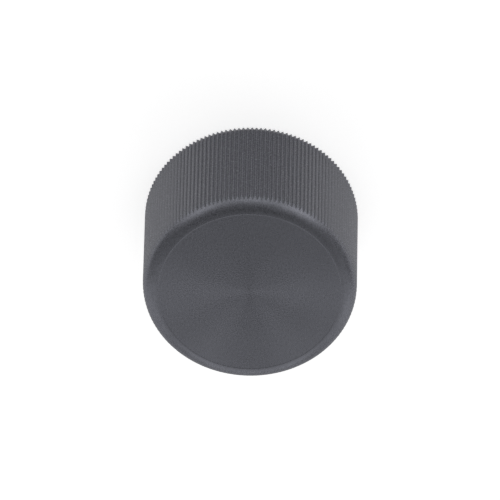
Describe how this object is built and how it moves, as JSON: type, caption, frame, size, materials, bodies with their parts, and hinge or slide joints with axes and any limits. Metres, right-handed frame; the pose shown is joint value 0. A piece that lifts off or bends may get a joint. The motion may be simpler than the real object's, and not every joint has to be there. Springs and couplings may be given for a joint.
{
  "type": "grinder knob",
  "caption": "Round knurled aluminium control knob with a rounded front edge, held on a 6 mm shaft by a grub screw.",
  "frame": {"origin": "centre of the back rim's plane, which the knob stands on", "axes": "+Z along the shaft axis, from the open back to the flat front face; +Y towards the grub screw's hole"},
  "size_m": [0.0382, 0.0382, 0.0247],
  "materials": {
    "grey_anodised_aluminium": "fine satin anodised, knurled wall",
    "black_oxide_steel": "black oxide"
  },
  "bodies": {
    "root": {"knob_body": "grey_anodised_aluminium", "grub_screw": "black_oxide_steel"}
  },
  "joints": []
}
